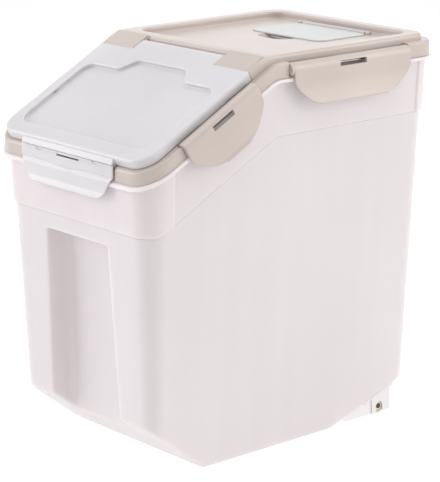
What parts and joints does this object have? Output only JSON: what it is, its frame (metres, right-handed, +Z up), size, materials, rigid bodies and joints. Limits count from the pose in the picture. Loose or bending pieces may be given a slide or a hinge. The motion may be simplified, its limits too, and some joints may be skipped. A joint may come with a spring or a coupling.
{
  "type": "pet food bin",
  "caption": "Tall translucent bin with a clamped lid, a sloping flip lid over the mouth, a small desiccant compartment on top and little rear wheels.",
  "frame": {"origin": "middle of the bounding box at floor level", "axes": "+Z up; -Y is the front, where the flip lid slopes down; X runs across the bin, which is the same on both sides"},
  "size_m": [0.2428, 0.3614, 0.37],
  "materials": {
    "tub_translucent": "satin translucent moulded polypropylene",
    "lid_translucent": "frosted translucent moulded plastic",
    "lid_beige": "fine satin moulded plastic",
    "door_white": "fine satin moulded plastic",
    "basket_white": "satin moulded plastic",
    "bracket_white": "satin moulded plastic",
    "wheel_cream": "satin moulded plastic",
    "seal_silicone": "soft matt silicone",
    "steel_pin": "drawn steel"
  },
  "bodies": {
    "bin": {"bin_body": "tub_translucent", "wheel_bracket_right": "bracket_white", "wheel_bracket_left": "bracket_white", "axle_right": "steel_pin", "axle_left": "steel_pin"},
    "wheel_right_body": {"wheel_right": "wheel_cream"},
    "wheel_left_body": {"wheel_left": "wheel_cream"},
    "lid": {"main_lid": "lid_beige", "lid_gasket": "seal_silicone", "desiccant_basket": "basket_white", "door_pin": "steel_pin", "flip_pin_right": "steel_pin", "flip_pin_left": "steel_pin", "latch_pin_right_rear": "steel_pin", "latch_pin_right_front": "steel_pin", "latch_pin_left_rear": "steel_pin", "latch_pin_left_front": "steel_pin"},
    "door": {"compartment_door": "door_white"},
    "flip": {"flip_lid": "lid_translucent", "flip_gasket": "seal_silicone", "front_latch_pin": "steel_pin"},
    "front_clasp": {"front_latch": "lid_translucent"},
    "clasp_right_rear": {"latch_right_rear": "lid_beige"},
    "clasp_right_front": {"latch_right_front": "lid_beige"},
    "clasp_left_rear": {"latch_left_rear": "lid_beige"},
    "clasp_left_front": {"latch_left_front": "lid_beige"}
  },
  "joints": [
    {"name": "lid_lift", "type": "slide", "parent": "bin", "child": "lid", "axis": [0, 0, 1], "range_m": [0, 0.2]},
    {"name": "flip_lid_hinge", "type": "hinge", "parent": "lid", "child": "flip", "pos_m": [0, -0.04115, 0.36127], "axis": [-1, 0, 0], "range_deg": [0, 118]},
    {"name": "front_latch_hinge", "type": "hinge", "parent": "flip", "child": "front_clasp", "pos_m": [0, -0.17605, 0.28497], "axis": [-1, 0, 0], "range_deg": [0, 105]},
    {"name": "latch_right_rear_hinge", "type": "hinge", "parent": "lid", "child": "clasp_right_rear", "pos_m": [0.1112, 0.0605, 0.3567], "axis": [0, -1, 0], "range_deg": [0, 110]},
    {"name": "latch_right_front_hinge", "type": "hinge", "parent": "lid", "child": "clasp_right_front", "pos_m": [0.1112, -0.09451, 0.32324], "axis": [0, -0.8813, -0.4726], "range_deg": [0, 110]},
    {"name": "latch_left_rear_hinge", "type": "hinge", "parent": "lid", "child": "clasp_left_rear", "pos_m": [-0.1112, 0.0605, 0.3567], "axis": [0, 1, 0], "range_deg": [0, 110]},
    {"name": "latch_left_front_hinge", "type": "hinge", "parent": "lid", "child": "clasp_left_front", "pos_m": [-0.1112, -0.09451, 0.32324], "axis": [0, 0.8813, 0.4726], "range_deg": [0, 110]},
    {"name": "door_hinge", "type": "hinge", "parent": "lid", "child": "door", "pos_m": [0, 0.1485, 0.3646], "axis": [-1, 0, 0], "range_deg": [0, 95]},
    {"name": "wheel_right_spin", "type": "hinge", "parent": "bin", "child": "wheel_right_body", "pos_m": [0.08942, 0.125, 0.00795], "axis": [1, 0, 0], "continuous": true},
    {"name": "wheel_left_spin", "type": "hinge", "parent": "bin", "child": "wheel_left_body", "pos_m": [-0.08942, 0.125, 0.00795], "axis": [1, 0, 0], "continuous": true}
  ]
}
